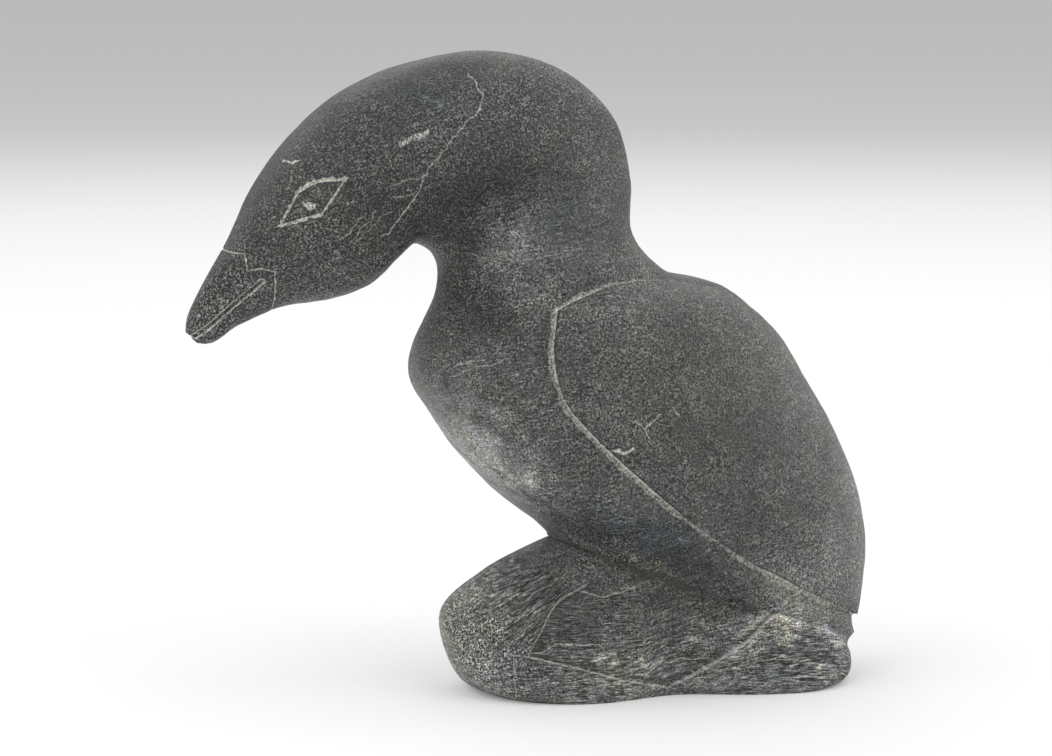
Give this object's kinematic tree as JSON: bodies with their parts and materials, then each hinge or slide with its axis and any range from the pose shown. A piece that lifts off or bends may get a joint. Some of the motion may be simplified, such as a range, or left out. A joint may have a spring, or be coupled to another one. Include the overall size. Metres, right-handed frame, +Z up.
{
  "type": "soapstone bird carving",
  "caption": "Stooping bird with folded wings on a low lobed base, carved with its base from a single block of dark soapstone, with incised eyes, bill and wing borders.",
  "frame": {"origin": "on the flat underside, below the middle of the base, in the plane between the two wings", "axes": "-X towards the bill, +X towards the tail, -Y to the bird's left, +Z up"},
  "size_m": [0.1603, 0.0624, 0.1465],
  "materials": {
    "soapstone": "dark grey soapstone, hand rubbed to a satin, with pale raw stone in the incised lines and file marks"
  },
  "bodies": {
    "root": {"bird_carving": "soapstone"}
  },
  "joints": []
}
